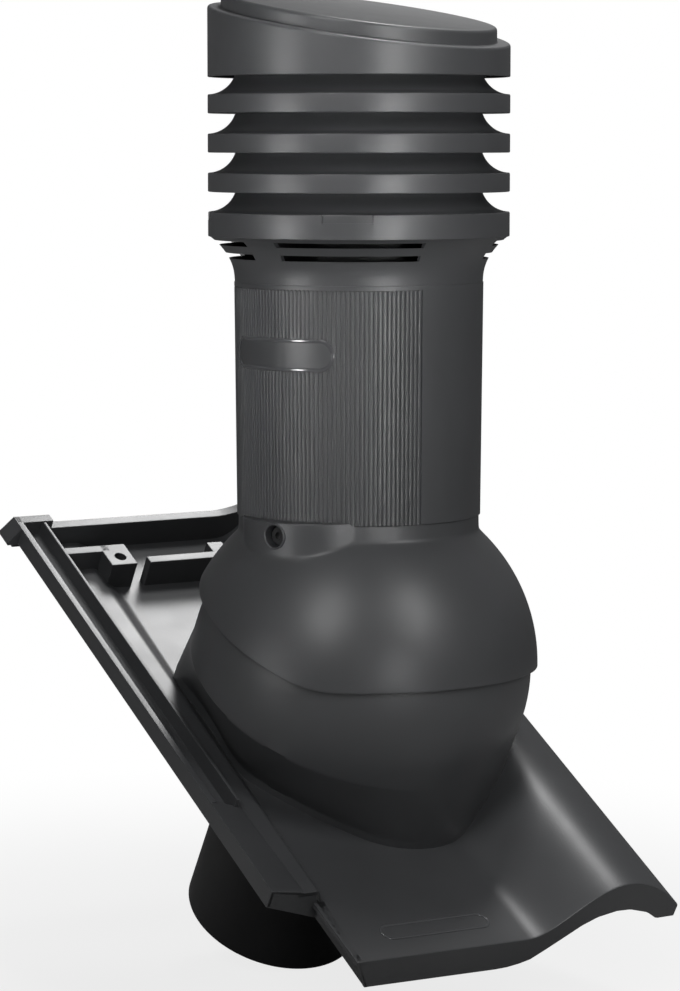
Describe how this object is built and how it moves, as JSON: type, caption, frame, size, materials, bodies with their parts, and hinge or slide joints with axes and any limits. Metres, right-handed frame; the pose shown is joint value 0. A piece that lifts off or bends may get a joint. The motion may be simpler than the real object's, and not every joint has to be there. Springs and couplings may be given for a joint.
{
  "type": "roof tile vent",
  "caption": "Plastic roof tile with a ball housing, swivelling vent stack, fluted sleeve and louvred cowl.",
  "frame": {"origin": "centre of the duct spigot's lower end", "axes": "+Z plumb, +X across the tile to the right, +Y level and up the roof; the roof slopes 30 degrees"},
  "size_m": [0.298, 0.4326, 0.6814],
  "materials": {
    "moulded_plastic": "anthracite injection-moulded plastic, fine satin grain",
    "duct_plastic": "near-black smooth plastic",
    "seal_rubber": "matt rubber",
    "screw_steel": "bright steel",
    "foam": "pale closed-cell foam"
  },
  "bodies": {
    "tile": {"tile_body": "moulded_plastic", "duct_spigot": "duct_plastic", "spigot_gasket": "seal_rubber", "spigot_screws": "screw_steel"},
    "tilt_carrier": {"clamp_ring": "duct_plastic", "retaining_ring": "duct_plastic"},
    "turret": {"swivel_dome": "moulded_plastic", "lock_screw": "screw_steel", "fluted_sleeve": "moulded_plastic", "inner_pipe": "duct_plastic", "insulation": "foam", "cowl_base": "moulded_plastic", "louvre_ring_1": "moulded_plastic", "louvre_ring_2": "moulded_plastic", "louvre_ring_3": "moulded_plastic", "cowl_lid": "moulded_plastic"}
  },
  "joints": [
    {"name": "roof_pitch", "type": "hinge", "parent": "tile", "child": "tilt_carrier", "pos_m": [0, -0.1125, 0.19486], "axis": [1, 0, 0], "range_deg": [-12, 15]},
    {"name": "turret_turn", "type": "hinge", "parent": "tilt_carrier", "child": "turret", "pos_m": [0, -0.1125, 0.19486], "axis": [0, 0, 1], "range_deg": [-45, 15]}
  ]
}
